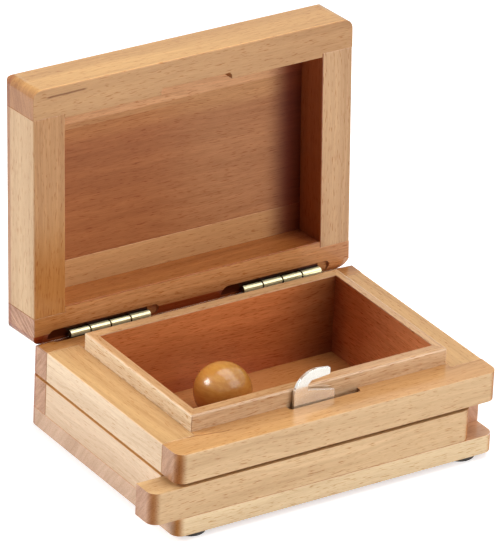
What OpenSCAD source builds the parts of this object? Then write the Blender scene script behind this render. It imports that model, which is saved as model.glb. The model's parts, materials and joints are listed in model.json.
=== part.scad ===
// Beech puzzle box: a hinged lid held shut by a hook on a sliding front bar.
// It is drawn as it stands in use, with the lid open and the bar slid to the left.
// X runs along the front, Y to the back and Z up, from the middle of what it stands on.

/* [Box] */
// Length of the front
box_w = 150; // [130:1:180]
// Depth from front to back
box_d = 110; // [95:1:135]
// Radius of the upright corners
corner_r = 4.5; // [2.5:0.5:7]

/* [Base] */
// Thickness of the bottom board
bottom_t = 8; // [6:0.5:12]
// Height of the lower boards, which is also the height of the bar's channel
body_h = 14; // [13:0.5:20]
// Height of the shadow groove under the upper frame
groove_h = 1.2; // [0.8:0.1:2]
// Depth of the shadow groove
groove_depth = 1.5; // [1:0.1:2.5]
// Height of the upper frame's rails
frame_h = 12.8; // [10:0.2:18]
// Width of the rails and boards at the two sides
side_w = 15; // [13:0.5:20]
// Width of the front rail
front_w = 15; // [14.5:0.1:18]
// Width of the back rail and the back board
back_w = 15.6; // [15.4:0.1:22]
// Width of the end grain that the front and back members show at the sides
end_w = 12; // [11:0.5:13.5]

/* [Tray] */
// Thickness of the tray's left and right walls
tray_side_t = 3.8; // [3:0.1:6]
// Thickness of the tray's front and back walls
tray_cross_t = 4.9; // [3:0.1:6]
// Height of the tray's rim above the frame
rim_h = 7; // [4:0.5:8]
// Radius of the tray's outer corners
tray_corner_r = 0.8; // [0.4:0.1:2.5]
// Rounding along the tray's outer top edge
tray_edge_r = 1; // [0.4:0.1:1.5]

/* [Sliding bar] */
// How far the bar slides to free the lid
bar_travel = 11.4; // [8:0.1:14]
// Clearance round the bar
bar_gap = 0.2; // [0.1:0.05:0.4]
// How much thicker the bar is between the side boards, where it carries the hook
bar_pad = 1; // [0.4:0.1:1.2]
// Length of the tongue under the bar
tongue_len = 92; // [60:1:110]
// Width of the tongue
tongue_w = 3; // [2:0.1:4]
// Height of the tongue inside the bar
tongue_in = 3; // [2:0.1:5]
// Height of the tongue inside the bottom board
tongue_out = 2; // [1.5:0.1:3]

/* [Hook] */
// Distance from the box's left side to the hook's left edge, with the bar unlocked
hook_x = 61.2; // [50:0.1:70]
// Thickness of the steel plate
hook_t = 1.4; // [1:0.1:1.6]
// Width of the hook's lower jaw
hook_w = 18.9; // [17:0.1:22]
// Height of the hook above the frame
hook_h = 14.6; // [14:0.1:15]
// Radius of the bend at the hook's top
bend_r = 10; // [3:0.5:11]
// Length of the hook's arm, from its left edge to the tip
tip_x = 16.4; // [14:0.1:18]
// Width of the hook beside its throat
throat_x = 6.3; // [5:0.1:8]
// Height of the throat's lower side at its closed end
throat_z = 6.2; // [5:0.1:6.5]
// Height of the arm's lower side
arm_z = 10.1; // [9.8:0.1:11]
// Height of the lower jaw's free end
jaw_z = 3.5; // [2:0.1:5]
// Clearance of the slot beyond the unlocked hook
slot_left = 2.2; // [0.6:0.1:4]
// Clearance of the slot beyond the locked hook
slot_right = 0.9; // [0.6:0.1:4]
// Clearance of the slot in front of the plate
slot_front = 0.85; // [0.3:0.05:1.2]
// Diameter of the catch pin in the lid
catch_d = 3; // [2.5:0.1:3.2]
// Height of the catch pin above the frame when the lid is shut
catch_h = 8.1; // [8:0.1:8.3]
// Distance from the hook's left edge to the catch pin, with the bar unlocked
catch_x = 22.6; // [22.4:0.1:24]
// Depth of the catch pin in the wood
catch_set = 6; // [4:0.5:8]
// Diameter of the hook's two screws
screw_d = 2.4; // [2:0.1:3]
// Length of the hook's two screws
screw_len = 9; // [7:0.5:10]

/* [Lid] */
// Thickness of the lid
lid_t = 22; // [20:0.5:26]
// Depth of the lid's recess
recess = 15.4; // [15.4:0.1:17]
// Width of the lid's front rail
lid_front_w = 14; // [13.5:0.1:14.2]
// Width of the lid's side rails
lid_side_w = 14.4; // [13:0.1:14.6]
// Width of the lid's back rail
lid_back_w = 15.2; // [14.8:0.1:15.4]
// Width of the end grain that the lid's front and back rails show
lid_end_w = 12.4; // [11:0.1:13]
// How far the panel sits into its rebate on every side
panel_lap = 4; // [3:0.5:6]
// Width that shows of the narrow strip along the panel's hinge side
strip_w = 11.8; // [8:0.2:20]
// Rounding along the lid's upper edges
lid_edge_r = 2.5; // [1:0.25:4]
// Angle that the lid stands open
lid_open = 93.5; // [90:0.5:96]
// Gap between the shut lid and the base
lid_gap = 0.2; // [0.1:0.05:0.3]
// How far the lid's pocket stops short of the slot at each end
pocket_end = 0.1; // [0:0.1:0.4]

/* [Hinges] */
// Distance of the hinge axis from the back of the box
pin_inset = 2.6; // [2.4:0.1:3]
// Length of each hinge
hinge_len = 38; // [30:1:44]
// Diameter of the knuckles
knuckle_d = 3; // [2.6:0.1:3.4]
// Diameter of the hinge pins
pin_d = 1.5; // [1.2:0.1:1.8]
// Thickness of the leaves
leaf_t = 1; // [0.8:0.1:1.2]
// How far each leaf reaches into the wood
leaf_depth = 9; // [6:0.5:11]
// Distance from the left side to the middle of the left hinge
hinge_left_x = 34.9; // [32:0.1:40]
// Distance from the left side to the middle of the right hinge
hinge_right_x = 116.9; // [100:0.1:118]
// Length of the routed mortise round each hinge
mortise_len = 52; // [48:1:54]
// Distance from the hinge's middle to the mortise's middle
mortise_shift = -2.2; // [-4:0.1:4]
// Width of the mortise on the hinge side of the mating face
mortise_front = 3.4; // [3:0.1:4]
// Depth of the mortise
mortise_depth = 2.2; // [2.1:0.1:2.6]
// Width of the sloping edge behind the hinges
bevel_w = 5; // [4:0.1:6]

/* [Feet] */
// Diameter of the rubber feet
foot_d = 13; // [10:0.5:16]
// Height of the rubber feet
foot_h = 2.5; // [1.5:0.5:5]
// Distance from the box's side to the middle of a foot
foot_in_x = 11.5; // [9:0.5:20]
// Distance from the box's front or back to the middle of a foot
foot_in_y = 8; // [7:0.5:20]

/* [Ball] */
// Diameter of the wooden ball
ball_d = 23.8; // [16:0.2:25]
// Distance from the tray's left wall to the ball
ball_x = 30.5; // [5:0.1:80]
// Distance from the tray's front wall to the ball
ball_y = 31.4; // [1:0.1:45]

/* [Hidden] */
$fn = 48;

// Heights of the layers, from the feet up.
z_board = foot_h;
z_body = z_board + bottom_t;
z_groove = z_body + body_h;
z_frame = z_groove + groove_h;
z_top = z_frame + frame_h;
z_rim = z_top + rim_h;

// The front bar and the plate fixed behind it.
bar_depth = end_w - bar_gap;
bar_h = body_h - bar_gap;
bar_x = -bar_travel;
plate_y = bar_depth + bar_pad;
slot_y = plate_y - slot_front;
slot_x0 = hook_x - slot_left;
slot_x1 = hook_x + bar_travel + hook_w + slot_right;
slot_r = 1.6;

// The hinge axis lies in the joint between the base and the lid.
pin_y = box_d - pin_inset;
knuckle_count = 4;
knuckle_gap = 0.35;
pin_gap = 0.05;
leaf_clear = 0.9;
leaf_front = 1.5;
axis_z = z_top + lid_gap / 2;

// The sloping edges meet just past the open lid's angle, and stop it there.
stop_spare = 0.7;
bevel_h = pin_inset * tan((lid_open + stop_spare) / 2) - lid_gap / 2;

// Where the tray stands.
tray_x0 = side_w;
tray_x1 = box_w - side_w;
tray_y0 = front_w;
tray_y1 = box_d - back_w;

// The rim that the lid must pass, and the pocket that passes the hook.
hook_clear = 0.4;
hook_swing = pin_y - plate_y + hook_clear;
pocket_y = pin_y - sqrt(pow(hook_swing, 2) + pow(hook_h, 2));

// The part's origin is the middle of the space it takes up as it stands.
lid_reach = (pin_y - lid_edge_r) * -cos(lid_open)
    + (lid_t + lid_gap / 2 - lid_edge_r) * sin(lid_open) + lid_edge_r;
origin_x = (box_w - bar_travel) / 2;
origin_y = (pin_y + lid_reach) / 2;

beech = [0.87, 0.70, 0.50];
beech_pale = [0.93, 0.80, 0.63];
beech_red = [0.66, 0.42, 0.26];
steel = [0.80, 0.80, 0.80];
brass = [0.80, 0.66, 0.32];
rubber = [0.16, 0.15, 0.14];
honey = [0.72, 0.46, 0.20];

// Moves a piece of the base to the part's own origin.
module placed() {
    translate([-origin_x, -origin_y, 0]) children();
}

// Moves a piece of the bar, drawn locked, to where it stands unlocked.
module on_bar() {
    placed() translate([bar_x, 0, 0]) children();
}

// Moves a piece of the lid, drawn shut with its origin on the hinge axis, to the open lid.
module on_lid() {
    placed() translate([0, pin_y, axis_z]) rotate([-lid_open, 0, 0]) children();
}

// The same for the lid's wood, which keeps clear of the base when the lid is shut.
module in_lid() {
    on_lid() translate([0, 0, lid_gap / 2]) children();
}

// Plan of a rectangle with round corners, with one corner at the origin.
module round_plan(w, d, r) {
    translate([r, 0]) square([w - 2 * r, d]);
    translate([0, r]) square([w, d - 2 * r]);
    for (x = [r, w - r], y = [r, d - r]) translate([x, y]) circle(r);
}

// The outline of the box as an upright prism.
module box_prism(z, h) {
    translate([0, 0, z]) linear_extrude(h) round_plan(box_w, box_d, corner_r);
}

// What is cut away round the box for the shadow groove.
module groove_ring() {
    inner_r = corner_r - groove_depth;
    difference() {
        translate([-1, -1, z_groove]) cube([box_w + 2, box_d + 2, groove_h]);
        translate([groove_depth, groove_depth, z_groove - 1]) linear_extrude(groove_h + 2)
            round_plan(box_w - 2 * groove_depth, box_d - 2 * groove_depth, inner_r);
    }
}

// Plan of a front or back member whose ends are thinner than its middle.
module rebated_plan(end, middle, side) {
    square([box_w, end]);
    translate([side, 0]) square([box_w - 2 * side, middle]);
}

// A front or back member of the base, as a prism from z up.
module front_member(z, h) {
    intersection() {
        box_prism(z, h);
        translate([0, 0, z]) linear_extrude(h) rebated_plan(end_w, front_w, side_w);
    }
}

module back_member(z, h) {
    intersection() {
        box_prism(z, h);
        translate([0, box_d, z]) mirror([0, 1, 0]) linear_extrude(h)
            rebated_plan(end_w, back_w, side_w);
    }
}

// A side member between the front and back members.
module side_member(x, z, h) {
    translate([x, end_w, z]) cube([side_w, box_d - 2 * end_w, h]);
}

// The sloping edge behind the hinges, as a wedge below the joint.
module bevel_wedge() {
    translate([-1, pin_inset - bevel_w, 0]) rotate([90, 0, 90]) linear_extrude(box_w + 2)
        polygon([[0, 0], [bevel_w, -bevel_h], [bevel_w + 1, -bevel_h], [bevel_w + 1, 1], [0, 1]]);
}

// One routed mortise below the joint, with round ends, and the kerf for the leaf under it.
module hinge_mortise(x) {
    mid = x + mortise_shift;
    back = knuckle_d / 2 + 0.5;
    r = (mortise_front + back) / 2;
    translate([mid - mortise_len / 2, -mortise_front, -mortise_depth]) {
        translate([r, 0, 0]) cube([mortise_len - 2 * r, 2 * r, mortise_depth + 1]);
        for (end = [r, mortise_len - r]) translate([end, r, 0]) cylinder(r = r, h = mortise_depth + 1);
    }
    translate([x - hinge_len / 2, -leaf_front, lid_gap / 2 - leaf_depth])
        cube([hinge_len, leaf_t, leaf_depth]);
}

// Bottom board, with the stopped groove that guides the bar's tongue.
module bottom_board() {
    color(beech) placed() difference() {
        box_prism(z_board, bottom_t);
        translate([tongue_x0 - bar_travel - bar_gap, tongue_y - bar_gap, z_body - tongue_out - bar_gap])
            cube([tongue_len + bar_travel + 2 * bar_gap, tongue_w + 2 * bar_gap, tongue_out + 1]);
    }
}

module back_board() {
    color(beech) placed() back_member(z_body, body_h);
}

module left_side_board() {
    color(beech_pale) placed() side_member(0, z_body, body_h);
}

module right_side_board() {
    color(beech_pale) placed() side_member(box_w - side_w, z_body, body_h);
}

// Plan of the slot behind the front rail, with rounded front corners.
module slot_plan() {
    translate([slot_x0 + slot_r, slot_y]) square([slot_x1 - slot_x0 - 2 * slot_r, front_w - slot_y + 1]);
    translate([slot_x0, slot_y + slot_r]) square([slot_x1 - slot_x0, front_w - slot_y - slot_r + 1]);
    for (x = [slot_x0 + slot_r, slot_x1 - slot_r]) translate([x, slot_y + slot_r]) circle(slot_r);
}

module frame_front_rail() {
    color(beech) placed() difference() {
        front_member(z_frame, frame_h);
        translate([0, 0, z_frame - 1]) linear_extrude(frame_h + 2) slot_plan();
    }
}

module frame_back_rail() {
    color(beech) placed() difference() {
        back_member(z_groove, frame_h + groove_h);
        groove_ring();
        translate([0, pin_y, z_top]) {
            bevel_wedge();
            hinge_mortise(hinge_left_x);
            hinge_mortise(hinge_right_x);
        }
    }
}

module frame_side_rail(x) {
    difference() {
        side_member(x, z_groove, frame_h + groove_h);
        groove_ring();
    }
}

module frame_left_rail() {
    color(beech_pale) placed() frame_side_rail(0);
}

module frame_right_rail() {
    color(beech_pale) placed() frame_side_rail(box_w - side_w);
}

// The tray's four walls in one ring, with the outer top edge rounded.
module tray_ring() {
    w = tray_x1 - tray_x0;
    d = tray_y1 - tray_y0;
    h = z_rim - z_body;
    difference() {
        translate([tray_x0, tray_y0, z_body]) intersection() {
            linear_extrude(h) round_plan(w, d, tray_corner_r);
            rotate([90, 0, 90]) linear_extrude(w) eased_profile(d, h, tray_edge_r);
            translate([0, d, 0]) rotate([90, 0, 0]) linear_extrude(d) eased_profile(w, h, tray_edge_r);
        }
        translate([tray_x0 + tray_side_t, tray_y0 + tray_cross_t, z_body - 1])
            cube([w - 2 * tray_side_t, d - 2 * tray_cross_t, h + 2]);
    }
}

// A rectangle whose two upper corners are rounded.
module eased_profile(w, h, r) {
    square([w, h - r]);
    translate([r, 0]) square([w - 2 * r, h]);
    for (x = [r, w - r]) translate([x, h - r]) circle(r);
}

// Plan of what belongs to one mitred wall: dir is the side the wall stands on.
module mitre_plan(dir) {
    w = tray_x1 - tray_x0;
    d = tray_y1 - tray_y0;
    m = d / 2;
    k = m * tray_side_t / tray_cross_t;
    translate([tray_x0, tray_y0]) {
        if (dir == "front") polygon([[0, 0], [w, 0], [w - k, m], [k, m]]);
        if (dir == "back") polygon([[0, d], [k, m], [w - k, m], [w, d]]);
        if (dir == "left") polygon([[0, 0], [k, m], [0, d]]);
        if (dir == "right") polygon([[w, 0], [w, d], [w - k, m]]);
    }
}

module tray_wall_piece(dir) {
    intersection() {
        tray_ring();
        translate([0, 0, z_body - 1]) linear_extrude(z_rim - z_body + 2) mitre_plan(dir);
    }
}

module tray_front_wall() {
    color(beech_red) placed() tray_wall_piece("front");
}

module tray_back_wall() {
    color(beech_red) placed() tray_wall_piece("back");
}

module tray_left_wall() {
    color(beech_red) placed() tray_wall_piece("left");
}

module tray_right_wall() {
    color(beech_red) placed() tray_wall_piece("right");
}

// The tongue runs under the middle of the bar, here with the bar locked.
tongue_x0 = (box_w - tongue_len) / 2;
tongue_y = (bar_depth - tongue_w) / 2;

// Screws that hold the hook's foot to the back of the bar, here with the bar locked.
foot_h_plate = 10;
foot_side = 5;
foot_z = z_body + (bar_h - foot_h_plate) / 2 + bar_gap;
locked_x = hook_x + bar_travel;
screw_x = [locked_x - foot_side + 5, locked_x + hook_w + foot_side - 5];
screw_z = foot_z + foot_h_plate / 2;
head_d = 2 * screw_d;
screw_gap = 0.05;
head_t = 1.1;

// Plan of the bar, locked. Its ends pass in front of the side boards.
module bar_plan() {
    pad_x = side_w + bar_travel + bar_gap;
    square([box_w, bar_depth]);
    translate([pad_x, 0]) square([box_w - side_w - bar_gap - pad_x, plate_y]);
}

module slide_bar() {
    color(beech) on_bar() difference() {
        intersection() {
            box_prism(z_body + bar_gap, bar_h - bar_gap);
            linear_extrude(z_top) bar_plan();
        }
        translate([tongue_x0, tongue_y, z_body - 1]) cube([tongue_len, tongue_w, tongue_in + 1 + bar_gap]);
        for (x = screw_x) translate([x, plate_y + 1, screw_z]) rotate([90, 0, 0])
            cylinder(d = screw_d + 2 * screw_gap, h = screw_len - hook_t + 1.5);
    }
}

module bar_tongue() {
    color(beech_pale) on_bar() translate([tongue_x0, tongue_y, z_body - tongue_out])
        cube([tongue_len, tongue_w, tongue_out + tongue_in + bar_gap]);
}

// Corners cut off the throat and the tip, and how much the arm tapers on each side.
throat_cut = 1.5;
tip_cut = 0.3;
tip_drop = 0.8;

// Outline of the hook seen from the front, with its left edge and the frame's top at the origin.
module hook_outline() {
    foot_top = foot_z + foot_h_plate - z_top;
    difference() {
        polygon([[-foot_side, foot_top - foot_h_plate], [hook_w + foot_side, foot_top - foot_h_plate],
            [hook_w + foot_side, foot_top], [hook_w, foot_top], [hook_w, jaw_z],
            [throat_x, throat_z], [throat_x, arm_z - throat_cut], [throat_x + throat_cut, arm_z],
            [tip_x - tip_cut, arm_z + tip_drop], [tip_x, arm_z + tip_drop + tip_cut],
            [tip_x, hook_h - tip_drop - tip_cut], [tip_x - tip_cut, hook_h - tip_drop],
            [bend_r, hook_h], [0, hook_h], [0, foot_top], [-foot_side, foot_top]]);
        translate([0, hook_h - bend_r]) difference() {
            translate([-1, 0]) square([bend_r + 1, bend_r + 1]);
            translate([bend_r, 0]) circle(bend_r);
        }
    }
}

module latch_hook() {
    color(steel) on_bar() difference() {
        translate([locked_x, plate_y + hook_t, z_top]) rotate([90, 0, 0]) linear_extrude(hook_t)
            hook_outline();
        for (x = screw_x) translate([x, plate_y, screw_z]) rotate([-90, 0, 0]) {
            translate([0, 0, -1]) cylinder(d = screw_d + 2 * screw_gap, h = hook_t + 2);
            translate([0, 0, hook_t - head_t]) cylinder(d1 = screw_d + 2 * screw_gap,
                d2 = head_d + 2 * screw_gap, h = head_t + 0.01);
        }
    }
}

module latch_screws() {
    color(steel) on_bar() for (x = screw_x) translate([x, plate_y + hook_t, screw_z]) rotate([90, 0, 0])
        difference() {
            union() {
                cylinder(d1 = head_d, d2 = screw_d, h = head_t);
                cylinder(d = screw_d, h = screw_len);
            }
            translate([-head_d, -0.3, -1]) cube([2 * head_d, 0.6, 1.4]);
        }
}

// The whole lid, shut, as one block with its upper edges and upright corners rounded.
module lid_block() {
    translate([0, -pin_y, 0]) intersection() {
        linear_extrude(lid_t) round_plan(box_w, box_d, corner_r);
        rotate([90, 0, 90]) linear_extrude(box_w) eased_profile(box_d, lid_t, lid_edge_r);
        translate([0, box_d, 0]) rotate([90, 0, 0]) linear_extrude(box_d)
            eased_profile(box_w, lid_t, lid_edge_r);
    }
}

// The lid's opening and the rebate above it that takes the panel.
module lid_opening() {
    d = box_d - lid_front_w - lid_back_w;
    w = box_w - 2 * lid_side_w;
    translate([lid_side_w, lid_front_w - pin_y, -1]) cube([w, d, lid_t + 2]);
    translate([lid_side_w - panel_lap, lid_front_w - panel_lap - pin_y, recess])
        cube([w + 2 * panel_lap, d + 2 * panel_lap, lid_t]);
}

module lid_rail(x, y, w, d) {
    difference() {
        intersection() {
            lid_block();
            translate([x, y - pin_y, -1]) cube([w, d, lid_t + 2]);
        }
        lid_opening();
    }
}

// A front or back rail of the lid, whose ends are thinner than its middle.
module lid_cross_rail(y, middle, end_y) {
    difference() {
        lid_rail(0, y, box_w, middle);
        for (x = [-1, box_w - lid_side_w]) translate([x, end_y - pin_y, -1])
            cube([lid_side_w + 1, middle - lid_end_w + 1, lid_t + 2]);
    }
}

// The pocket that passes the hook, with rounded front corners.
module hook_pocket() {
    x0 = slot_x0 + pocket_end;
    w = slot_x1 - pocket_end - x0;
    d = lid_front_w + 1 - pocket_y;
    translate([x0, pocket_y - pin_y, -1]) linear_extrude(recess + 1) {
        translate([slot_r, 0]) square([w - 2 * slot_r, d]);
        translate([0, slot_r]) square([w, d - slot_r]);
        for (x = [slot_r, w - slot_r]) translate([x, slot_r]) circle(slot_r);
    }
}

catch_at = hook_x + catch_x;

module lid_front_rail() {
    color(beech) in_lid() difference() {
        lid_cross_rail(0, lid_front_w, lid_end_w);
        hook_pocket();
        translate([catch_at, pocket_y - pin_y + 1, catch_h]) rotate([90, 0, 0])
            cylinder(d = catch_d, h = catch_set + 1);
    }
}

module lid_back_rail() {
    color(beech) in_lid() difference() {
        lid_cross_rail(box_d - lid_back_w, lid_back_w, box_d - lid_back_w - 1);
        mirror([0, 0, 1]) {
            bevel_wedge();
            hinge_mortise(hinge_left_x);
            hinge_mortise(hinge_right_x);
        }
    }
}

module lid_side_rail(x) {
    lid_rail(x, lid_end_w, lid_side_w, box_d - 2 * lid_end_w);
}

module lid_left_rail() {
    color(beech_pale) in_lid() lid_side_rail(0);
}

module lid_right_rail() {
    color(beech_pale) in_lid() lid_side_rail(box_w - lid_side_w);
}

// The panel is glued up from a wide board and a narrow strip along the hinge side.
panel_x = lid_side_w - panel_lap;
panel_w = box_w - 2 * panel_x;
panel_y0 = lid_front_w - panel_lap;
panel_y1 = box_d - lid_back_w + panel_lap;
panel_split = box_d - lid_back_w - strip_w;

module lid_panel() {
    color(beech_red) in_lid() translate([panel_x, panel_y0 - pin_y, recess])
        cube([panel_w, panel_split - panel_y0, lid_t - recess]);
}

module lid_panel_strip() {
    color(beech) in_lid() translate([panel_x, panel_split - pin_y, recess])
        cube([panel_w, panel_y1 - panel_split, lid_t - recess]);
}

module lid_catch_pin() {
    color(steel) in_lid() translate([catch_at, lid_front_w - 0.2 - pin_y, catch_h]) rotate([90, 0, 0])
        cylinder(d = catch_d, h = lid_front_w - 0.2 - pocket_y + catch_set);
}

// One leaf of a hinge that reaches down from the axis, with every second knuckle.
module hinge_leaf(x, first, bore) {
    step = hinge_len / knuckle_count;
    r = knuckle_d / 2;
    difference() {
        union() {
            translate([x - hinge_len / 2, -leaf_front, -leaf_depth])
                cube([hinge_len, leaf_t, leaf_depth - r - leaf_clear]);
            for (i = [first : 2 : knuckle_count - 1])
                translate([x - hinge_len / 2 + i * step + knuckle_gap / 2, 0, 0]) {
                    rotate([0, 90, 0]) cylinder(r = r, h = step - knuckle_gap);
                    translate([0, -leaf_front, -r - leaf_clear - 1])
                        cube([step - knuckle_gap, leaf_t, r + leaf_clear + 1]);
                }
        }
        translate([x - hinge_len, 0, 0]) rotate([0, 90, 0])
            cylinder(d = bore, h = 2 * hinge_len);
    }
}

module hinge_pin(x) {
    translate([x - hinge_len / 2, 0, 0]) rotate([0, 90, 0]) cylinder(d = pin_d, h = hinge_len);
}

module at_axis() {
    placed() translate([0, pin_y, axis_z]) children();
}

module left_hinge_base_leaf() {
    color(brass) at_axis() hinge_leaf(hinge_left_x, 0, pin_d);
}

module left_hinge_lid_leaf() {
    color(brass) on_lid() mirror([0, 0, 1]) hinge_leaf(hinge_left_x, 1, pin_d + 2 * pin_gap);
}

module left_hinge_pin() {
    color(brass) at_axis() hinge_pin(hinge_left_x);
}

module right_hinge_base_leaf() {
    color(brass) at_axis() hinge_leaf(hinge_right_x, 0, pin_d);
}

module right_hinge_lid_leaf() {
    color(brass) on_lid() mirror([0, 0, 1]) hinge_leaf(hinge_right_x, 1, pin_d + 2 * pin_gap);
}

module right_hinge_pin() {
    color(brass) at_axis() hinge_pin(hinge_right_x);
}

// A rubber foot with a softened lower edge.
module foot(x, y) {
    r = foot_d / 2;
    ease = 0.6;
    color(rubber) placed() translate([x, y, 0]) rotate_extrude() union() {
        square([r - ease, foot_h]);
        translate([0, ease]) square([r, foot_h - ease]);
        translate([r - ease, ease]) intersection() {
            circle(ease);
            translate([0, -ease]) square(ease);
        }
    }
}

module foot_front_left() {
    foot(foot_in_x, foot_in_y);
}

module foot_front_right() {
    foot(box_w - foot_in_x, foot_in_y);
}

module foot_back_left() {
    foot(foot_in_x, box_d - foot_in_y);
}

module foot_back_right() {
    foot(box_w - foot_in_x, box_d - foot_in_y);
}

// The ball lies loose on the tray's floor, which is the bottom board.
module ball() {
    r = ball_d / 2;
    color(honey) placed() translate([tray_x0 + tray_side_t + ball_x + r,
        tray_y0 + tray_cross_t + ball_y + r, z_body + r]) sphere(d = ball_d);
}

bottom_board();
back_board();
left_side_board();
right_side_board();
frame_front_rail();
frame_back_rail();
frame_left_rail();
frame_right_rail();
tray_front_wall();
tray_back_wall();
tray_left_wall();
tray_right_wall();
slide_bar();
bar_tongue();
latch_hook();
latch_screws();
lid_front_rail();
lid_back_rail();
lid_left_rail();
lid_right_rail();
lid_panel();
lid_panel_strip();
lid_catch_pin();
left_hinge_base_leaf();
left_hinge_lid_leaf();
left_hinge_pin();
right_hinge_base_leaf();
right_hinge_lid_leaf();
right_hinge_pin();
foot_front_left();
foot_front_right();
foot_back_left();
foot_back_right();
ball();
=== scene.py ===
"""Looks for the puzzle box: eased copies of the CAD nodes, procedural wood and metal, light and camera.
Distances on the box are in mm from its front left lower corner, with the lid taken as shut."""
import json
import math

import bmesh
import bpy
from mathutils import Matrix, Vector


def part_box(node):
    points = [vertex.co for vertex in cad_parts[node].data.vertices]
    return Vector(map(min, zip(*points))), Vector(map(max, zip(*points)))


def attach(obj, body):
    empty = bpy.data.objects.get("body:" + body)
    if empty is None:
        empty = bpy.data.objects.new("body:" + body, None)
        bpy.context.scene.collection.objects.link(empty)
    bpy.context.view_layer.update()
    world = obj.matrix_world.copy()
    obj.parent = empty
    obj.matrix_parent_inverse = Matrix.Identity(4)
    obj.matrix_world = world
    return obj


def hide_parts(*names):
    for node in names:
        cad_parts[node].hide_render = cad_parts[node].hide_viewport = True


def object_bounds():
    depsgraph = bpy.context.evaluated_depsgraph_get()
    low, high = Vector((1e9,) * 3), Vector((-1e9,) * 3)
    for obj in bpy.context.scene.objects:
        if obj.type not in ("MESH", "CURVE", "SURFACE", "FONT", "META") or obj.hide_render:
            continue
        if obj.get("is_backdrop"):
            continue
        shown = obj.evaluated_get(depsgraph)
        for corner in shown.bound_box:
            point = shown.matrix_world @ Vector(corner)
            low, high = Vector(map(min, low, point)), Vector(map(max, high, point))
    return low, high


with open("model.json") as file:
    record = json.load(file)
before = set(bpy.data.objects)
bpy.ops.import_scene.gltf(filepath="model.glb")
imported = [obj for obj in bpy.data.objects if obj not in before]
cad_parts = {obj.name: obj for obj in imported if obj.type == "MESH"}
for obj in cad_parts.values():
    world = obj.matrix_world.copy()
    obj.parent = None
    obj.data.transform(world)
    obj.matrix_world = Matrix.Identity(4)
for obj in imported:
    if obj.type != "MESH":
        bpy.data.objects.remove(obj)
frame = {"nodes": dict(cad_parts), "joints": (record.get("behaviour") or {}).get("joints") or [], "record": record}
cad_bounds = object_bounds()
nodes = frame["nodes"]
joints = {j["name"]: j for j in frame["joints"]}
bodies = {n: b for b, ns in frame["record"]["behaviour"]["bodies"].items() for n in ns}

MM = 0.001
# The lid's angle and axis come from its joint, and the box's corner from its bottom board.
LID_OPEN = math.radians(joints["lid_hinge"]["range_deg"][1])
AXIS = Vector(joints["lid_hinge"]["pos_m"])
LID_SHUT = Matrix.Translation(AXIS) @ Matrix.Rotation(LID_OPEN, 4, "X") @ Matrix.Translation(-AXIS)
CORNER, FAR_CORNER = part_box("bottom_board")
BOX_W, BOX_D, FLOOR_Z = (FAR_CORNER - CORNER) / MM
# Height of the middle of the joint between base and lid, and how far each of them stays from it.
JOINT_Z, HALF_GAP = (AXIS.z - CORNER.z) / MM, 0.1
# Width and depth of the edges that slope down towards the hinges.
BEVEL_W, BEVEL_H = 5, 2.7
# Width of the lid's side and back rails, and a height above the joint within its panel's thickness.
RAIL_X, RAIL_Y, PANEL_H = 14.4, 15.2, 17
# The tray's outside faces and the thickness of its walls.
(left_low, left_high), (back_low, back_high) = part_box("tray_left_wall"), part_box("tray_back_wall")
TRAY_X = ((left_low - CORNER).x / MM, (back_high - CORNER).x / MM)
TRAY_Y = ((left_low - CORNER).y / MM, (back_high - CORNER).y / MM)
RIM_Z = (left_high - CORNER).z / MM
TRAY_SIDE, TRAY_CROSS = (left_high - left_low).x / MM, (back_high - back_low).y / MM
# Just left of the left hinge's mortise, the end of its knuckles, and how far the right hinge is from it.
left_pin, right_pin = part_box("left_hinge_pin"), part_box("right_hinge_pin")
MORTISE_START, KNUCKLES_END = 6.2, (left_pin[1] - CORNER).x / MM
HINGE_STEP = (right_pin[0] - left_pin[0]).x / MM


def in_box(point, lid):
    """A point of the open model, placed on the shut box."""
    return ((LID_SHUT @ point if lid else point) - CORNER) / MM


LID_TOP = max(in_box(v.co, True).z for v in nodes["lid_left_rail"].data.vertices)


# Colour and node helpers

def linear(rgb):
    """An sRGB colour, 0 to 255, as linear light."""
    out = []
    for c in rgb:
        c = c / 255
        out.append(c / 12.92 if c <= 0.04045 else ((c + 0.055) / 1.055) ** 2.4)
    return (*out, 1.0)


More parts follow.
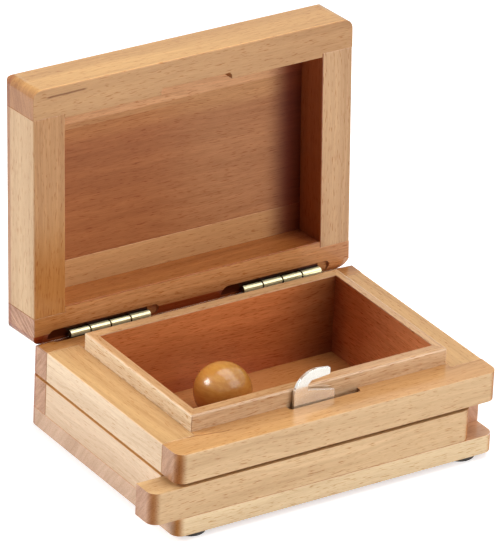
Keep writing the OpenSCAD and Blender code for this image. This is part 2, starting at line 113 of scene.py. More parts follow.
class Tree:
    """Adds nodes to a material, linking an input where it is given a socket."""

    def __init__(self, name, world=False):
        self.material = (bpy.data.worlds if world else bpy.data.materials).new(name)
        self.material.use_nodes = True
        self.tree = self.material.node_tree
        self.tree.nodes.clear()
        self.out = self.node("OutputWorld" if world else "OutputMaterial")

    def node(self, kind, inputs=None, **props):
        node = self.tree.nodes.new("ShaderNode" + kind)
        for key, value in props.items():
            setattr(node, key, value)
        for key, value in (inputs or {}).items():
            socket = node.inputs[key]
            if isinstance(value, bpy.types.NodeSocket):
                self.tree.links.new(value, socket)
            else:
                socket.default_value = value
        return node

    def add(self, kind, inputs=None, out=0, **props):
        return self.node(kind, inputs, **props).outputs[out]

    def math(self, op, a, b=0.0, c=0.0):
        return self.add("Math", {0: a, 1: b, 2: c}, operation=op)

    def total(self, *terms):
        """The sum of terms, each a socket or a pair of a socket and its factor."""
        out = None
        for term in terms:
            value, factor = term if isinstance(term, tuple) else (term, 1.0)
            out = self.math("MULTIPLY_ADD", value, factor, 0.0 if out is None else out)
        return out

    def product(self, *factors):
        out = factors[0]
        for factor in factors[1:]:
            out = self.math("MULTIPLY", out, factor)
        return out

    def vmath(self, op, a, b=(0, 0, 0)):
        return self.add("VectorMath", {0: a, 1: b}, operation=op)

    def scale(self, v, s):
        return self.add("VectorMath", {0: v, "Scale": s}, operation="SCALE")

    def split(self, v):
        return self.node("SeparateXYZ", {0: v}).outputs

    def combine(self, x, y, z):
        return self.add("CombineXYZ", {0: x, 1: y, 2: z})

    def noise(self, vector, detail=2.0, rough=0.5):
        return self.add("TexNoise", {"Vector": vector, "Scale": 1.0, "Detail": detail, "Roughness": rough})

    def ramp(self, value, low, high, out_low=0.0, out_high=1.0):
        return self.add("MapRange", {"Value": value, "From Min": low, "From Max": high, "To Min": out_low,
                                     "To Max": out_high}, interpolation_type="SMOOTHSTEP")

    def between(self, value, low, high, soft):
        """1 where value lies from low to high, falling to 0 over soft on either side."""
        return self.product(self.ramp(value, low - soft, low), self.ramp(value, high, high + soft, 1.0, 0.0))

    def mix(self, factor, a, b):
        node = self.node("Mix", {0: factor, 6: a, 7: b}, data_type="RGBA")
        return node.outputs[2]

    def bump(self, height, strength, distance):
        return self.add("Bump", {"Height": height, "Strength": strength, "Distance": distance})

    def surface(self, **inputs):
        names = {"color": "Base Color", "rough": "Roughness", "metal": "Metallic", "normal": "Normal",
                 "coat": "Coat Weight", "coat_rough": "Coat Roughness", "coat_normal": "Coat Normal",
                 "spec": "Specular IOR Level"}
        shader = self.add("BsdfPrincipled", {names[k]: v for k, v in inputs.items()})
        self.tree.links.new(shader, self.out.inputs["Surface"])
        return self.material


# Wood

# How much painted shade darkens the rounded upright corners in front and behind, and how much painted highlight
# lightens the arrises.
FRONT_CORNER_SHADE, BACK_CORNER_SHADE, ARRIS_HIGHLIGHT = 0.9, 0.075, 0.5
# What flecks, the painted corner shade and the painted arris highlights multiply the wood's colour by.
FLECK_TINT, CORNER_SHADE_TINT, ARRIS_HIGHLIGHT_TINT = (0.74, 0.55, 0.38), (0.62, 0.31, 0.05), (1.35, 1.4, 1.5)
# Brings the product of two squared direction components to 1 where a surface slants by 45 degrees.
SLANT = 4


def board_frame(t, lid):
    """Position and squared surface direction on the shut box."""
    co = t.add("TexCoord", out=3)
    normal = t.add("TexCoord", out=1)
    if lid:
        turn = {"Axis": (1, 0, 0), "Angle": LID_OPEN}
        co = t.add("VectorRotate", {"Vector": co, "Center": AXIS, **turn}, rotation_type="AXIS_ANGLE")
        normal = t.add("VectorRotate", {"Vector": normal, "Center": (0, 0, 0), **turn},
                       rotation_type="AXIS_ANGLE")
    co = t.scale(t.vmath("SUBTRACT", co, CORNER), 1 / MM)
    return t.split(co), t.split(t.vmath("MULTIPLY", normal, normal))


def wood(name, grain, end, edge, face, seed, lid=False, tilt=35, flecks=0.95, bands=0.8, rings=0.5,
         fibres=0.5, gloss=0.2, coat=1.0, corner_shade=FRONT_CORNER_SHADE, marks=()):
    """Lacquered beech with rings, fibres and flecks along the grain, which runs along x or y. end, edge and
    face are its colours on the surfaces across the grain, and on the two kinds along it: for a grain along x
    they look along x, y and z. tilt is the slant of the rings, seed sets a board's own figure, and marks are
    functions that each give a mask and the colour by which it multiplies the wood."""
    t = Tree(name)
    (x, y, z), (nx, ny, nz) = board_frame(t, lid)
    u, v, w = (x, y, z) if grain == "x" else (y, x, z)
    nu, nv = (nx, ny) if grain == "x" else (ny, nx)
    # Slow wander, so that the lines are not straight.
    wander = t.noise(t.combine(t.math("MULTIPLY_ADD", u, 0.011, seed), t.math("MULTIPLY", v, 0.03),
                               t.math("MULTIPLY", w, 0.03)), 1.0)
    a = math.radians(tilt)
    r = t.total((v, math.cos(a)), (w, math.sin(a)), (wander, 8.0))
    s = t.total((v, -math.sin(a)), (w, math.cos(a)))

    def figure(along, across, shift, detail, roughness, through):
        """Noise about 0, with its changes per mm along the grain, across the rings and along the rings."""
        return t.math("SUBTRACT", t.noise(t.combine(
            t.math("MULTIPLY_ADD", u, along, seed * shift), t.math("MULTIPLY", r, across),
            t.math("MULTIPLY", s, through)), detail, roughness), 0.5)

    def tinted(color, mask, tint):
        return t.mix(mask, color, t.vmath("MULTIPLY", color, tint))

    band = figure(0.006, 0.13, 1.7, 2.0, 0.5, 0.0156)
    ring = figure(0.012, 0.75, 2.3, 3.0, 0.6, 0.09)
    fibre = figure(0.11, 1.9, 3.1, 3.0, 0.7, 1.9)
    fleck = t.ramp(figure(0.28, 2.8, 4.7, 0.5, 0.5, 2.8), 0.12, 0.24)
    color = t.vmath("ADD", t.scale(linear(end)[:3], nu), t.scale(linear(edge)[:3], nv))
    color = t.vmath("ADD", color, t.scale(linear(face)[:3], nz))
    # The rings show most on the end grain, and all lines most in blue and least in red.
    ring = t.product(ring, t.math("MULTIPLY_ADD", nu, 1.5, 1.0))
    shade = t.total((band, bands), (ring, rings), (fibre, fibres))
    tone = t.combine(*(t.math("MULTIPLY_ADD", shade, k, 1.0) for k in (0.75, 1.0, 1.25)))
    color = t.vmath("MULTIPLY", color, tone)
    color = tinted(color, t.math("MULTIPLY", fleck, flecks), FLECK_TINT)
    # Painted shade darkens the rounded upright corners, most in front, and they get less coat. Painted highlights
    # make other arrises paler.
    corner = t.product(nu, nv, t.ramp(y, BOX_D - 12, BOX_D - 8, corner_shade * SLANT, BACK_CORNER_SHADE * SLANT))
    color = tinted(color, corner, CORNER_SHADE_TINT)
    color = tinted(color, t.product(nz, t.math("ADD", nu, nv), ARRIS_HIGHLIGHT * SLANT), ARRIS_HIGHLIGHT_TINT)
    for mark in marks:
        color = tinted(color, *mark(t, x, y, z))
    height = t.total((fibre, 0.6), (fleck, -0.6))
    return t.surface(color=color, rough=0.6, spec=0.0, normal=t.bump(height, 0.25, 0.00008),
                     coat=t.math("MULTIPLY_ADD", corner, -0.7 * coat, coat), coat_rough=gloss,
                     coat_normal=t.bump(height, 0.1, 0.00005))


# Marks on the wood: each returns a function that gives a mask and the colour by which it multiplies

def pick(axis, *point):
    """The coordinate of a point along an axis."""
    return point["xyz".index(axis)]


def stripe(axis, low, high, soft, tint, wobble=0.0):
    """A tint between two distances along an axis, whose ends may wander by wobble."""
    def mark(t, x, y, z):
        value = pick(axis, x, y, z)
        if wobble:
            wave = t.noise(t.combine(t.math("MULTIPLY", x, 0.03), t.math("MULTIPLY", y, 0.15), 4.0), 2.0)
            value = t.total(value, (t.math("SUBTRACT", wave, 0.5), wobble))
        return t.between(value, low, high, soft), tint
    return mark


def vein(start, end, width, tint, wave=1.2):
    """A thin line in the grain from start to end, each (x, y)."""
    def mark(t, x, y, z):
        slope = (end[1] - start[1]) / (end[0] - start[0])
        swing = t.noise(t.combine(t.math("MULTIPLY", x, 0.25), 1.3, 7.0), 1.0)
        line = t.total((x, slope), (t.math("SUBTRACT", swing, 0.5), wave))
        above = t.math("SUBTRACT", t.math("SUBTRACT", y, line), start[1] - slope * start[0])
        off = t.math("ABSOLUTE", above)
        return t.product(t.ramp(off, 0.0, width, 1.0, 0.0), t.between(x, start[0], end[0], 2.5)), tint
    return mark


def facing(axis, at, tint):
    """A tint on the face that lies at one place on an axis."""
    return stripe(axis, at - 0.35, at + 0.35, 0.1, tint)


def within(axis, low, high, inner):
    """Keeps a mark between two distances along an axis."""
    def mark(t, x, y, z):
        mask, tint = inner(t, x, y, z)
        return t.product(mask, t.between(pick(axis, x, y, z), low, high, 0.3)), tint
    return mark


def in_tray(inner):
    """Keeps a mark below the tray's rim."""
    return within("z", 0, RIM_Z - 0.6, inner)


def in_lid(inner):
    """Keeps a mark off the outside of the lid's panel."""
    return within("z", 0, JOINT_Z + PANEL_H, inner)


def mating(inner, above=0.5):
    """Keeps a mark on the lid's mating face, and off what lies higher than above."""
    return within("z", JOINT_Z - 1, JOINT_Z + above, inner)


def slot_inside(t, x, y, z):
    """The inside of the slot in the tray's front wall, where the hook stands in its own shadow."""
    inside = t.product(t.between(y, TRAY_Y[0] + 0.12, TRAY_Y[0] + TRAY_CROSS - 0.5, 0.08),
                       t.ramp(z, RIM_Z - 0.3, RIM_Z - 0.1, 1.0, 0.0))
    return inside, (0.2, 0.1, 0.05)


def hinge_side(lid, low, high, tint):
    """A tint on what lies from low to high below the sloping edge, on the side of the hinges."""
    def mark(t, x, y, z):
        depth = t.math("SUBTRACT", z, JOINT_Z) if lid else t.math("SUBTRACT", JOINT_Z, z)
        below = t.total((y, -BEVEL_H / BEVEL_W), depth)
        top = -(BOX_D - BEVEL_W) * BEVEL_H / BEVEL_W
        here = t.product(t.between(y, BOX_D - 6.3, BOX_D - 0.4, 0.3), t.ramp(depth, HALF_GAP, 0.5))
        return t.product(t.between(below, top + low, top + high, 0.1), here), tint
    return mark


def bevel(lid):
    """Painted shade on the sloping face, up to the end of the right hinge."""
    return within("x", 0, KNUCKLES_END + HINGE_STEP, hinge_side(lid, -0.3, 0.3, (0.6, 0.3, 0.2)))


def mortise(lid):
    """Painted shade inside the mortises, up to the far end of the knuckles."""
    inner = hinge_side(lid, 0.4, 3, (0.2, 0.08, 0.05))

    def mark(t, x, y, z):
        mask, tint = inner(t, x, y, z)
        along = t.math("MODULO", x, HINGE_STEP)
        return t.product(mask, t.between(along, MORTISE_START, KNUCKLES_END, 0.3)), tint
    return mark


# Painted shade darkens the rounded arrises on the left, round the lid's top and up the back corner.
ARRIS_SHADE_TINT = (0.78, 0.62, 0.6)
TOP_ARRIS_SHADE = within("x", -1, 3, stripe("z", LID_TOP - 3.9, LID_TOP + 1, 0.6, ARRIS_SHADE_TINT))
BACK_ARRIS_SHADE = within("x", -1, 4.5, stripe("y", BOX_D - 4.0, BOX_D + 1, 0.8, ARRIS_SHADE_TINT))
# The frame's top darkens towards the lid.
LID_SHADE = within("z", JOINT_Z - 0.6, JOINT_Z + 1, stripe("y", BOX_D - 6, BOX_D, 9, (0.62, 0.5, 0.4)))
FRAME_VEIN = vein((12.5, 11.8), (28.3, 9.25), 0.5, (0.5, 0.35, 0.25))
# The bottom board is paler where it shows beside the bar, to the right of the tray.
RECESS_FLOOR = within("x", TRAY_X[1] + 2, BOX_W - 0.5,
                      within("y", 0.5, 40, facing("z", FLOOR_Z, (1.15, 1.6, 2.9))))

# Painted shade in the tray: its inner faces are redder and darker than its outside, and darken further towards its
# far right corner and its floor.
TRAY_FRONT_SHADE = in_tray(facing("y", TRAY_Y[0] + TRAY_CROSS, (0.75, 0.45, 0.35)))
TRAY_BACK_SHADE = in_tray(facing("y", TRAY_Y[1] - TRAY_CROSS, (0.87, 0.44, 0.24)))
TRAY_LEFT_SHADE = in_tray(facing("x", TRAY_X[0] + TRAY_SIDE, (0.6, 0.35, 0.25)))
TRAY_RIGHT_SHADE = in_tray(facing("x", TRAY_X[1] - TRAY_SIDE, (0.96, 0.56, 0.38)))
TRAY_CORNER_SHADE_X = in_tray(stripe("x", TRAY_X[1] - 4, TRAY_X[1], 36, (0.45, 0.48, 0.5)))
TRAY_CORNER_SHADE_Y = in_tray(stripe("y", TRAY_Y[1] - 5, TRAY_Y[1] - 3, 14, (0.58, 0.45, 0.45)))
TRAY_FLOOR_SHADE = within("y", TRAY_Y[0], TRAY_Y[1] - TRAY_CROSS + 0.35,
                  stripe("z", 0, FLOOR_Z + 3, 8, (0.78, 0.66, 0.66)))

# The lid's mating face: a vein and a painted highlight along the edge in front, and painted shade towards the
# hinges on the left.
LID_VEIN = mating(vein((8, 3.9), (23, 3.7), 0.7, (0.4, 0.26, 0.14), wave=0.3), above=1)
LID_EDGE_HIGHLIGHT = mating(stripe("y", -1, 0.45, 0.2, (1.25, 1.25, 1.2)))
LEFT_RAIL_HINGE_SHADE = mating(stripe("y", 84, BOX_D, 28, (0.86, 0.7, 0.48)))
BACK_RAIL_LEFT_SHADE = mating(stripe("x", -5, 4, 22, (0.75, 0.66, 0.48)), above=0.3)
# Painted shade on the inner faces of its back and right rails, and the shade at the back rail's right end.
LID_BACK_INSIDE_SHADE = facing("y", BOX_D - RAIL_Y, (0.65, 0.39, 0.2))
LID_RIGHT_INSIDE_SHADE = facing("x", BOX_W - RAIL_X, (0.42, 0.16, 0.07))
RAIL_SHADE = within("z", JOINT_Z + 0.6, JOINT_Z + 16, within(
    "y", 0, BOX_D - RAIL_Y + 0.6, stripe("x", 136, BOX_W, 16, (0.65, 0.5, 0.7))))
# Its panel is darker inside, below a paler band along the front rail; painted shade makes it redder and darker
# farther from that rail, and darker on the left.
PANEL_DARK = in_lid(stripe("y", 25, BOX_D, 0.7, (0.78, 0.72, 0.6), wobble=1.5))
PANEL_RED_SHADE = in_lid(stripe("y", 35, BOX_D, 6.0, (0.74, 0.62, 0.59), wobble=1.5))
PANEL_LEFT_SHADE = in_lid(within("y", 27, BOX_D, stripe("x", 0, 55, 45, (0.87, 0.71, 0.57))))
PANEL_SHADE = in_lid(stripe("x", 131, BOX_W, 14, (0.29, 0.1, 0.05)))
PANEL_OUTSIDE = stripe("z", JOINT_Z + 18, JOINT_Z + 30, 1, (0.92, 0.9, 0.78))

# Colours of what faces front, up and to the sides, and of end grain, partly the wood's own and partly painted
# light: the sides are painted paler and the tops more orange for the sheen and light on them.
FRONT, TOP, SIDE, ENDS = (218, 180, 134), (206, 152, 90), (234, 204, 168), (196, 148, 116)
# The tray's boards on the rim and outside. They are cut rougher, so that their grain shows more.
RIM, TRAY_OUT = (208, 162, 114), (215, 179, 141)
ROUGH_CUT = dict(flecks=1.3, bands=1.1, fibres=0.9, corner_shade=0.0)
woods = {
    "bottom_board": dict(
        grain="x", end=(216, 178, 148), edge=(232, 202, 159), face=(200, 133, 75), seed=1.3, rings=0.2,
        marks=(RECESS_FLOOR, BACK_ARRIS_SHADE)),
    "back_board": dict(grain="x", end=ENDS, edge=FRONT, face=TOP, seed=7.1, marks=(BACK_ARRIS_SHADE,)),
    "left_side_board": dict(grain="y", end=ENDS, edge=(229, 196, 161), face=TOP, seed=3.3, flecks=0.5),
    "right_side_board": dict(grain="y", end=ENDS, edge=SIDE, face=TOP, seed=5.9, flecks=0.5),
    "slide_bar": dict(grain="x", end=ENDS, edge=FRONT, face=(211, 169, 118), seed=9.4, corner_shade=0.8),
    "bar_tongue": dict(grain="x", end=ENDS, edge=SIDE, face=SIDE, seed=2.4),
    "frame_front_rail": dict(
        grain="x", end=(187, 140, 106), edge=FRONT, face=(209, 157, 100), seed=12.2, marks=(FRAME_VEIN,)),
    "frame_back_rail": dict(
        grain="x", end=ENDS, edge=FRONT, face=TOP, seed=14.6,
        marks=(bevel(False), mortise(False), LID_SHADE, BACK_ARRIS_SHADE)),
    "frame_left_rail": dict(
        grain="y", end=ENDS, edge=(241, 211, 175), face=(212, 168, 114), seed=17.5, flecks=0.6,
        marks=(LID_SHADE,)),
    "frame_right_rail": dict(
        grain="y", end=ENDS, edge=SIDE, face=(217, 168, 106), seed=19.8, marks=(LID_SHADE,)),
    "tray_front_wall": dict(
        grain="x", end=ENDS, edge=TRAY_OUT, face=RIM, seed=21.1, **ROUGH_CUT,
        marks=(slot_inside, TRAY_FRONT_SHADE)),
    "tray_back_wall": dict(
        grain="x", end=ENDS, edge=TRAY_OUT, face=RIM, seed=23.7, **ROUGH_CUT,
        marks=(TRAY_BACK_SHADE, TRAY_CORNER_SHADE_X, TRAY_FLOOR_SHADE)),
    "tray_left_wall": dict(
        grain="y", end=ENDS, edge=(240, 216, 182), face=RIM, seed=25.2, **ROUGH_CUT, marks=(TRAY_LEFT_SHADE,)),
    "tray_right_wall": dict(
        grain="y", end=ENDS, edge=TRAY_OUT, face=RIM, seed=27.9, **ROUGH_CUT,
        marks=(TRAY_RIGHT_SHADE, TRAY_CORNER_SHADE_Y)),
    "lid_front_rail": dict(
        grain="x", end=(172, 117, 71), edge=(205, 152, 86), face=(194, 146, 97), seed=31.3, lid=True,
        tilt=78, corner_shade=0.1, marks=(LID_VEIN, LID_EDGE_HIGHLIGHT, TOP_ARRIS_SHADE)),
    "lid_back_rail": dict(
        grain="x", end=(188, 139, 108), edge=(214, 168, 118), face=(197, 136, 85), seed=33.8, lid=True,
        flecks=1.3, rings=1.0, fibres=0.9,
        marks=(TOP_ARRIS_SHADE, BACK_ARRIS_SHADE, bevel(True), mortise(True), LID_BACK_INSIDE_SHADE, BACK_RAIL_LEFT_SHADE,
               RAIL_SHADE)),
    "lid_left_rail": dict(
        grain="y", end=ENDS, edge=(212, 174, 130), face=(196, 145, 94), seed=35.5, lid=True,
        marks=(LEFT_RAIL_HINGE_SHADE, TOP_ARRIS_SHADE)),
    "lid_right_rail": dict(
        grain="y", end=ENDS, edge=SIDE, face=(201, 158, 114), seed=37.2, lid=True, marks=(LID_RIGHT_INSIDE_SHADE,)),
    "lid_panel": dict(
        grain="x", end=ENDS, edge=TOP, face=(223, 169, 120), seed=41.6, lid=True, bands=0.5, rings=0.4,
        fibres=0.9, gloss=0.4, coat=0.6,
        marks=(PANEL_DARK, PANEL_RED_SHADE, PANEL_LEFT_SHADE, PANEL_SHADE, PANEL_OUTSIDE)),
    "lid_panel_strip": dict(
        grain="x", end=ENDS, edge=(205, 150, 105), face=(192, 140, 90), seed=43.4, lid=True,
        gloss=0.4, coat=0.6, marks=(PANEL_SHADE,)),
}


# Geometry

# Facets that meet at less than JOINED become one face, and edges of more than SHARP are eased.
JOINED, SHARP = math.radians(0.6), math.radians(28)
EASE_SEGMENTS = 3
# How far each sloping face moves towards the other.
CLOSE_UP = 0.03


def close_up(bm, lid):
    """Moves the outer edge of a sloping face, so that no light shows behind the hinges of the open box."""
    step = Vector((0, 0, -CLOSE_UP * MM if lid else CLOSE_UP * MM))
    if lid:
        step = LID_SHUT.inverted().to_3x3() @ step
    for v in bm.verts:
        y, z = in_box(v.co, lid).yz
        if y > BOX_D - 0.05 and abs(abs(z - JOINT_Z) - BEVEL_H - HALF_GAP) < 0.3:
            v.co += step


def eased(name, width=0.3, rule=None):
    """Replaces a CAD node by a copy whose sharp edges are eased by width, or by the width that rule gives."""
    lid = bodies[name] == "lid"
    mesh = nodes[name].data.copy()
    bm = bmesh.new()
    bm.from_mesh(mesh)
    bmesh.ops.remove_doubles(bm, verts=bm.verts, dist=2e-6)
    bmesh.ops.dissolve_limit(bm, angle_limit=JOINED, verts=bm.verts, edges=bm.edges)
    if name in ("frame_back_rail", "lid_back_rail"):
        close_up(bm, lid)
    layer = bm.edges.layers.float.new("bevel_weight_edge")
    widths = {}
    for edge in bm.edges:
        if len(edge.link_faces) == 2 and edge.calc_face_angle() > SHARP:
            middle = in_box((edge.verts[0].co + edge.verts[1].co) / 2, lid)
            own = rule(middle) if rule else None
            widths[edge] = width if own is None else own
    widest = max(widths.values())
    for edge, own in widths.items():
        edge[layer] = own / widest
    bm.to_mesh(mesh)
    bm.free()
    obj = bpy.data.objects.new(name + "_eased", mesh)
    bpy.context.scene.collection.objects.link(obj)
    for p in mesh.polygons:
        p.use_smooth = True
    easing = obj.modifiers.new("bevel", "BEVEL")
    easing.limit_method = "WEIGHT"
    easing.width = widest * MM
    easing.segments = EASE_SEGMENTS
    easing.use_clamp_overlap = True
    weighted = obj.modifiers.new("normals", "WEIGHTED_NORMAL")
    weighted.weight = 100
    bpy.context.view_layer.update()
    final = bpy.data.meshes.new_from_object(obj.evaluated_get(bpy.context.evaluated_depsgraph_get()))
    obj.modifiers.clear()
    obj.data = final
    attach(obj, bodies[name])
    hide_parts(name)
    return obj


def paint(obj, material):
    obj.data.materials.clear()
    obj.data.materials.append(material)


def tray_rule(p):
    """Crisp mitres: easing there would open a dark groove."""
    on_side = min(abs(p.x - x) for x in TRAY_X) < TRAY_SIDE
    on_cross = min(abs(p.y - y) for y in TRAY_Y) < TRAY_CROSS
    return 0.04 if on_side and on_cross else None


def board_rule(p):
    """Crisp edges where the sloping faces behind the hinges meet, and softer ones round the mating faces."""
    x, y, z = p
    if y > BOX_D - 7 and abs(z - JOINT_Z) < 3.4:
        return 0.01
    outer = min(x, y, BOX_W - x) < 0.1
    return 0.6 if outer and abs(z - JOINT_Z) < 0.3 else None


for name, look in woods.items():
    paint(eased(name, rule=tray_rule if name.startswith("tray") else board_rule), wood(name, **look))


# Metal

# Each hinge has four knuckles, 3 mm thick. A thin olive line runs along each knuckle on the side that faces
# forward and up.
KNUCKLES, KNUCKLE_R, LINE_TURN = 4, 1.5, math.radians(25)
# The first colour is painted shade on the hinges, between and beyond the knuckles.
HINGE_SHADE, LINE_COLOR = (70, 46, 24), (150, 132, 70)


def metal(name, color, rough, streak, pure, knuckles=None):
    """Polished metal with a faint lengthwise finish, and pure as its metallic share. knuckles gives where a
    hinge's first knuckle starts on the model's x and how long each is, in mm. Painted shade darkens the
    hinge between them and beyond their radius."""
    t = Tree(name)
    world = t.add("TexCoord", out=3)
    co = t.scale(world, 1 / MM)
    lines = t.noise(t.vmath("MULTIPLY", co, streak), 3.0, 0.6)
    blot = t.noise(t.scale(co, 0.2), 2.0)
    color = t.scale(linear(color)[:3], t.ramp(blot, 0.3, 0.7, 0.94, 1.0))
    if knuckles:
        start, length = knuckles
        away = t.vmath("MULTIPLY", t.vmath("SUBTRACT", world, AXIS), (0, 1 / MM, 1 / MM))
        out = t.node("VectorMath", {0: away}, operation="LENGTH").outputs[1]
        along = t.math("PINGPONG", t.math("SUBTRACT", t.split(co)[0], start), length / 2)
        joint = t.ramp(along, 0.25, 0.5, 1.0, 0.0)
        knuckle_shade = t.math("MAXIMUM", joint, t.ramp(out, KNUCKLE_R + 0.05, KNUCKLE_R + 0.25))
        color = t.mix(knuckle_shade, color, linear(HINGE_SHADE))
        turn = t.math("ARCTAN2", t.split(away)[2], t.math("MULTIPLY", t.split(away)[1], -1.0))
        line_mask = t.ramp(t.math("ABSOLUTE", t.math("SUBTRACT", turn, LINE_TURN)), 0.06, 0.16, 1.0, 0.0)
        color = t.mix(t.math("MULTIPLY", line_mask, 0.8), color, linear(LINE_COLOR))
    return t.surface(color=color, metal=pure,
                     rough=t.ramp(t.math("ADD", lines, blot), 0.7, 1.3, rough * 0.8, rough * 1.2),
                     normal=t.bump(lines, 0.06, 0.00005))


steel = metal("steel", (240, 236, 228), 0.13, (0.15, 4.0, 4.0), pure=0.8)
for name in ("latch_hook", "latch_screws", "lid_catch_pin"):
    paint(eased(name, width=0.12), steel)
for side in ("left", "right"):
    low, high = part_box(f"{side}_hinge_pin")
    knuckles = (low.x / MM, (high - low).x / MM / KNUCKLES)
    brass = metal(f"{side}_brass", (255, 248, 200), 0.4, (0.15, 5.0, 5.0), pure=0.55, knuckles=knuckles)
    for piece in ("base_leaf", "lid_leaf", "pin"):
        paint(eased(f"{side}_hinge_{piece}", width=0.1), brass)


# Feet and ball

def rubber():
    """Dark rubber with a fine grit."""
    t = Tree("rubber")
    co = t.scale(t.add("TexCoord", out=3), 1 / MM)
    grit = t.noise(co, 4.0, 0.7)
    return t.surface(color=t.scale(linear((60, 56, 52))[:3], t.ramp(grit, 0.3, 0.7, 0.8, 1.2)),
                     rough=t.ramp(grit, 0.3, 0.7, 0.55, 0.75), normal=t.bump(grit, 0.3, 0.0001))


feet = rubber()
for corner in ("front_left", "front_right", "back_left", "back_right"):
    paint(nodes["foot_" + corner], feet)


def ball_wood():
    """Close-grained wood under a clear gloss, with painted shade that makes it darker and redder towards the
    floor.
    """
    t = Tree("ball_wood")
    co = t.scale(t.add("TexCoord", out=3), 1 / MM)
    lines = t.noise(t.vmath("MULTIPLY", co, (0.5, 0.12, 0.9)), 3.0, 0.6)
    fine = t.noise(t.vmath("MULTIPLY", co, (2.5, 0.3, 3.5)), 2.0, 0.6)
    color = t.mix(t.ramp(lines, 0.3, 0.7), linear((194, 130, 52)), linear((206, 148, 66)))
    color = t.mix(t.math("MULTIPLY", t.ramp(fine, 0.6, 0.75), 0.12), color, linear((140, 80, 36)))
    height = t.split(t.vmath("SUBTRACT", co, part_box("ball")[0] / MM))[2]
    # Painted shade: darker and redder towards the floor.
    shade_below = t.ramp(height, 3, 21, 1.0, 0.0)
    color = t.mix(shade_below, color, t.vmath("MULTIPLY", color, (0.48, 0.22, 0.1)))
    return t.surface(color=color, rough=0.5, spec=0.2, coat=1.0, coat_rough=0.2)


def round_ball():
    """The loose ball as a smooth sphere in the CAD ball's place."""
    low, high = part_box("ball")
    mesh = bpy.data.meshes.new("ball_smooth")
    bm = bmesh.new()
    bmesh.ops.create_icosphere(bm, subdivisions=5, radius=(high.z - low.z) / 2 - 1e-5)
    bmesh.ops.translate(bm, verts=bm.verts, vec=(low + high) / 2)
    bm.to_mesh(mesh)
    bm.free()
    for p in mesh.polygons:
        p.use_smooth = True
    obj = bpy.data.objects.new("ball_smooth", mesh)
    bpy.context.scene.collection.objects.link(obj)
    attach(obj, "ball")
    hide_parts("ball")
    return obj


paint(round_ball(), ball_wood())


# Floor, world and lamps

# How bright the surroundings are in reflections, and as light on the object.
GLOSS_LEVEL, WORLD_LEVEL = 0.8, 0.06
# The floor's own glow, as the camera sees it and in reflections, and half its side in metres.
FLOOR_SEEN, FLOOR_GLOSS, FLOOR_HALF = 0.6, 0.25, 6.0
# What the lamps point at.
LAMP_TARGET = Vector((0, 0, 0.04))


def pale_rays(t):
    """1 for what the camera sees, straight or in a reflection, and 0 for light that falls on the object."""
    path = t.node("LightPath").outputs
    reflected = t.math("MULTIPLY", path["Is Glossy Ray"], GLOSS_LEVEL)
    return t.math("MAXIMUM", path["Is Camera Ray"], reflected)


def floor_material():
    """A pale floor that takes shadows, and glows up to white."""
    t = Tree("floor")
    diffuse = t.add("BsdfDiffuse", {"Color": (0.82, 0.82, 0.82, 1)})
    path = t.node("LightPath").outputs
    level = t.total((path["Is Camera Ray"], FLOOR_SEEN), (path["Is Glossy Ray"], FLOOR_GLOSS))
    glow = t.add("Emission", {"Color": (1, 1, 1, 1), "Strength": level})
    t.tree.links.new(t.add("AddShader", {0: diffuse, 1: glow}), t.out.inputs["Surface"])
    return t.material


mesh = bpy.data.meshes.new("floor")
signs = ((-1, -1), (1, -1), (1, 1), (-1, 1))
mesh.from_pydata([(x * FLOOR_HALF, y * FLOOR_HALF, 0) for x, y in signs], [], [(0, 1, 2, 3)])
floor = bpy.data.objects.new("floor", mesh)
bpy.context.scene.collection.objects.link(floor)
mesh.materials.append(floor_material())
floor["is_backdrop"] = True

studio = Tree("studio", world=True)
bpy.context.scene.world = studio.material
strength = studio.ramp(pale_rays(studio), 0.0, 1.0, WORLD_LEVEL, 1.0)
background = studio.add("Background", {"Color": (1, 1, 1, 1), "Strength": strength})
studio.tree.links.new(background, studio.out.inputs["Surface"])


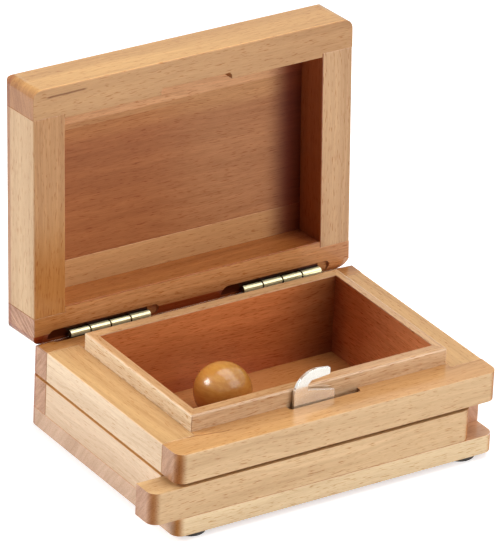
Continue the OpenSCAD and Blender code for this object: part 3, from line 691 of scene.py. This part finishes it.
def lamp(name, direction, distance, size, watts):
    """A white area lamp that stands in a direction from the box and faces it."""
    direction = Vector(direction).normalized()
    data = bpy.data.lights.new(name, "AREA")
    data.shape = "RECTANGLE"
    data.size, data.size_y = size
    data.energy = watts
    obj = bpy.data.objects.new(name, data)
    obj.location = LAMP_TARGET + direction * distance
    obj.rotation_euler = (-direction).to_track_quat("-Z", "Y").to_euler()
    bpy.context.scene.collection.objects.link(obj)


lamp("lamp_top", (0.21, 0.05, 0.98), 1.3, (1.2, 0.9), 10.8)
lamp("lamp_left", (-0.763, 0.433, 0.479), 1.4, (0.5, 0.5), 13.5)
lamp("lamp_front", (0.40, -0.60, 0.69), 1.5, (1.1, 0.8), 7.0)
lamp("lamp_low", (0.45, -0.88, 0.14), 1.5, (1.1, 0.4), 8.5)

# Camera, from the directions and distance that fit the photograph
AZIMUTH, ELEVATION, ROLL = (math.radians(a) for a in (-34.043, 26.81, 2.71))
FOCAL_PX, HEIGHT_PX, SENSOR, DISTANCE = 6210.5, 545, 36, 2.47026
# A point of the box, in mm, and how far right of it and above it the picture's middle lies, in metres.
FIT_POINT, SHIFT_RIGHT, SHIFT_UP = Vector((75, 55, 20)), -0.005214, 0.047239
forward = Vector((-math.sin(AZIMUTH) * math.cos(ELEVATION), math.cos(AZIMUTH) * math.cos(ELEVATION),
                  -math.sin(ELEVATION)))
level_right = forward.cross(Vector((0, 0, 1))).normalized()
level_up = level_right.cross(forward)
right = level_right * math.cos(ROLL) + level_up * math.sin(ROLL)
up = level_up * math.cos(ROLL) - level_right * math.sin(ROLL)
aim = CORNER + FIT_POINT * MM + right * SHIFT_RIGHT + up * SHIFT_UP
camera_data = bpy.data.cameras.new("camera")
camera_data.sensor_fit = "VERTICAL"
camera_data.sensor_height = SENSOR
camera_data.lens = FOCAL_PX / HEIGHT_PX * SENSOR
camera_data.clip_start, camera_data.clip_end = 0.05, 30
camera = bpy.data.objects.new("camera", camera_data)
rotation = Matrix((right, up, -forward)).transposed().to_4x4()
camera.matrix_world = Matrix.Translation(aim - forward * DISTANCE) @ rotation
bpy.context.scene.collection.objects.link(camera)
bpy.context.scene.camera = camera
bpy.context.scene.view_settings.view_transform = "Standard"


def plain(value):
    """A box as plain lists of numbers, whatever shape it comes in."""
    try:
        return [plain(v) for v in value]
    except TypeError:
        return float(value)


{"cad": plain(cad_bounds), "visual": plain(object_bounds())}
